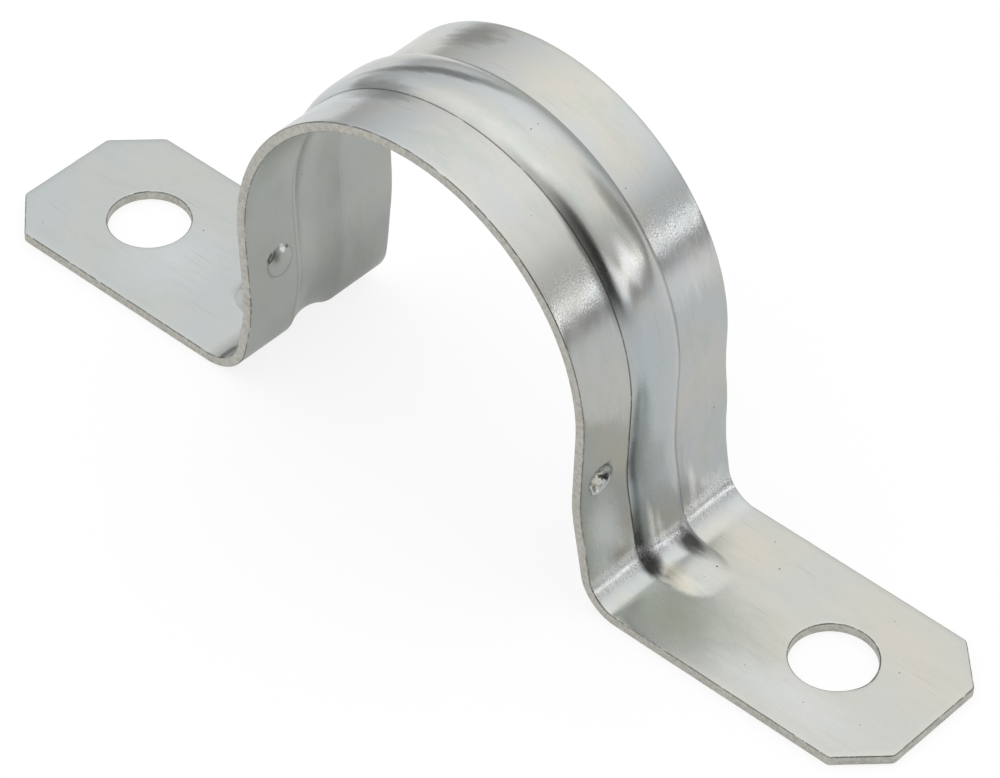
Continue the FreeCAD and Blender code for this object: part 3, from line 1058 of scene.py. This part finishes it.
# A thin dark line along the rounded rims of each cut edge, broken up by noise
colour = mix(tree, times(tree, rim_line, 0.72), colour, rim_dark_line)
burr_mask = patch_mask(
    (burr_low + 0.2, -strap_width / 2), (1.3, 0.6), turn=0, ragged=0.2, edge=0.3,
    level=sheet_thickness)
colour = mix(tree, times(tree, burr_mask, 0.85), colour, burr_zinc)
feed(tree, shader.inputs["Base Color"], colour)
tell(tree, "zinc with cut edges")

# %% Set roughness and bump
roughness = ramp(tree, middling, 0.35, 0.65, 0.17, 0.25)
for rough_mask, rougher in ((any_patch_mask, 0.12), (on_flat_inner, 0.12), (cut_face, 0.28)):
    roughness = calc(tree, "MULTIPLY_ADD", rough_mask, rougher, roughness)
feed(tree, shader.inputs["Roughness"], roughness)

grain_height = calc(tree, "MULTIPLY_ADD", glint_and_grain_band, 0.0065, 0.0015)
height = times(tree, surface["Grain"], grain_height)
torn_depth = times(tree, cut_face, 0.002)
for relief, depth in (
    (surface["Streaks"], 0.0020), (surface["Waves"], 0.018), (torn, torn_depth),
    (few_pits, -0.02), (scratch, -0.0015),
):
    height = calc(tree, "MULTIPLY_ADD", relief, depth, height)
bump = put(tree, "ShaderNodeBump", {"Strength": 1.0, "Distance": MM, "Height": height})
feed(tree, shader.inputs["Normal"], bump.outputs["Normal"])
tell(tree, "whole zinc material")

# %% [markdown]
# ## Camera
#
# The photograph was taken from the front right, well above the strap, with a long lens. An
# aim, a distance, two angles and a roll place the camera, and say more than its matrix.

# %% Set up the camera
camera_aim = Vector((-0.34, 3.06, 2.71)) * MM
camera_distance = 381.4 * MM
camera_azimuth = math.radians(41.09)
camera_elevation = math.radians(43.10)
camera_roll = math.radians(1.516)
focal_length_in_pixels = 4934.7
picture_width = 1000

camera_data = bpy.data.cameras.new("camera")
camera_data.sensor_width = 36.0
camera_data.sensor_fit = "HORIZONTAL"
camera_data.lens = focal_length_in_pixels * camera_data.sensor_width / picture_width
camera_data.clip_start = 0.01
camera = bpy.data.objects.new("camera", camera_data)
bpy.context.scene.collection.objects.link(camera)
turn = (
    Matrix.Rotation(camera_azimuth, 4, "Z")
    @ Matrix.Rotation(math.pi / 2 - camera_elevation, 4, "X")
    @ Matrix.Rotation(camera_roll, 4, "Z")
)
toward_camera = turn.to_3x3() @ Vector((0, 0, 1))
camera.matrix_world = Matrix.Translation(camera_aim + toward_camera * camera_distance) @ turn
bpy.context.scene.camera = camera
print("camera at", [round(v, 3) for v in camera.matrix_world.translation], "metres")

# %% [markdown]
# ## Floor
#
# The strap stands on pale paper. Light that made it white would fall on the strap too, so
# the paper glows instead, for the camera and mirror-like rays alone. The metal sees a
# weaker glow, and with it more of the shade that the strap throws on the paper.

# %% Lay the floor
paper_grey = (0.80, 0.80, 0.80, 1)
paper_grey_seen = (0.22, 0.22, 0.22, 1)
paper_glow = 0.83
mirrored_share = 0.60
floor_half = 3.0
floor_drop = -0.02 * MM
floor_mesh = bpy.data.meshes.new("floor")
corner_signs = ((-1, -1), (1, -1), (1, 1), (-1, 1))
corners = [(x * floor_half, y * floor_half, floor_drop) for x, y in corner_signs]
floor_mesh.from_pydata(corners, [], [(0, 1, 2, 3)])
floor = bpy.data.objects.new("floor", floor_mesh)
bpy.context.scene.collection.objects.link(floor)

paper, tree, shader = empty_material("white_paper")
shader.inputs["Roughness"].default_value = 0.9
shader.inputs["Specular IOR Level"].default_value = 0.0
floor_mesh.materials.append(paper)

paths = put(tree, "ShaderNodeLightPath").outputs
seen = calc(tree, "MAXIMUM", paths["Is Camera Ray"], paths["Is Transmission Ray"])
mirrored = times(tree, paths["Is Glossy Ray"], mirrored_share)
seen = calc(tree, "MAXIMUM", seen, mirrored)
feed(tree, shader.inputs["Base Color"], mix(tree, seen, paper_grey, paper_grey_seen))
shader.inputs["Emission Strength"].default_value = 1.0
feed(tree, shader.inputs["Emission Color"], grey(tree, times(tree, seen, paper_glow)))
tell(tree, "paper")

# %% [markdown]
# ## Light
#
# Bright metal shows its surroundings more than its own colour, so the studio is what it
# mirrors: a soft dome that is brightest overhead, a long low light behind on the right, and
# the dim side of the room where the camera stands. All of it is in the world, worked out
# from the direction of a ray, so there is no lamp to show as a hard spot.

# %% Light the studio
world = bpy.data.worlds.new("studio")
bpy.context.scene.world = world
world.use_nodes = True
tree = world.node_tree
direction = put(tree, "ShaderNodeTexCoord").outputs["Generated"]
axes = put(tree, "ShaderNodeSeparateXYZ", {"Vector": direction}).outputs
height = calc(tree, "MAXIMUM", axes["Z"], 0.0)
elevation = calc(tree, "DEGREES", calc(tree, "ARCSINE", axes["Z"]))
azimuth = calc(tree, "DEGREES", calc(tree, "ARCTAN2", axes["X"], axes["Y"]))


def panel(azimuths, elevations, side_edge, level_edge):
    """A soft-edged window in the sky: how far a direction is inside its four sides."""
    (start, end), (low, high) = azimuths, elevations
    sideways = between(tree, azimuth, start - side_edge, start + side_edge,
                       end - side_edge, end + side_edge)
    upward = between(tree, elevation, low - level_edge, low + level_edge,
                     high - level_edge, high + level_edge)
    return times(tree, sideways, upward)


# Four panels in the order in which they cover each other: angles in degrees, then brightness
dim_side = (panel((62, 215), (24, 64), 22, 12), 0.58)
camera_side = (panel((98, 134), (4, 56), 2.5, 3), 0.05)
low_light = (panel((38, 88), (10, 17), 5, 2), 1.75)
dark_gap = (panel((30, 92), (3.5, 8), 4, 1), 0.32)
horizon_level, overhead_gain = 0.42, 0.73
sky = calc(tree, "MULTIPLY_ADD", height, overhead_gain, horizon_level)
for inside, level in (dim_side, camera_side, low_light, dark_gap):
    gap = calc(tree, "SUBTRACT", level, sky)
    sky = calc(tree, "MULTIPLY_ADD", gap, inside, sky)
background = tree.nodes["Background"]
feed(tree, background.inputs["Color"], grey(tree, sky))
bpy.context.scene.view_settings.view_transform = "Standard"
tell(tree, "sky")
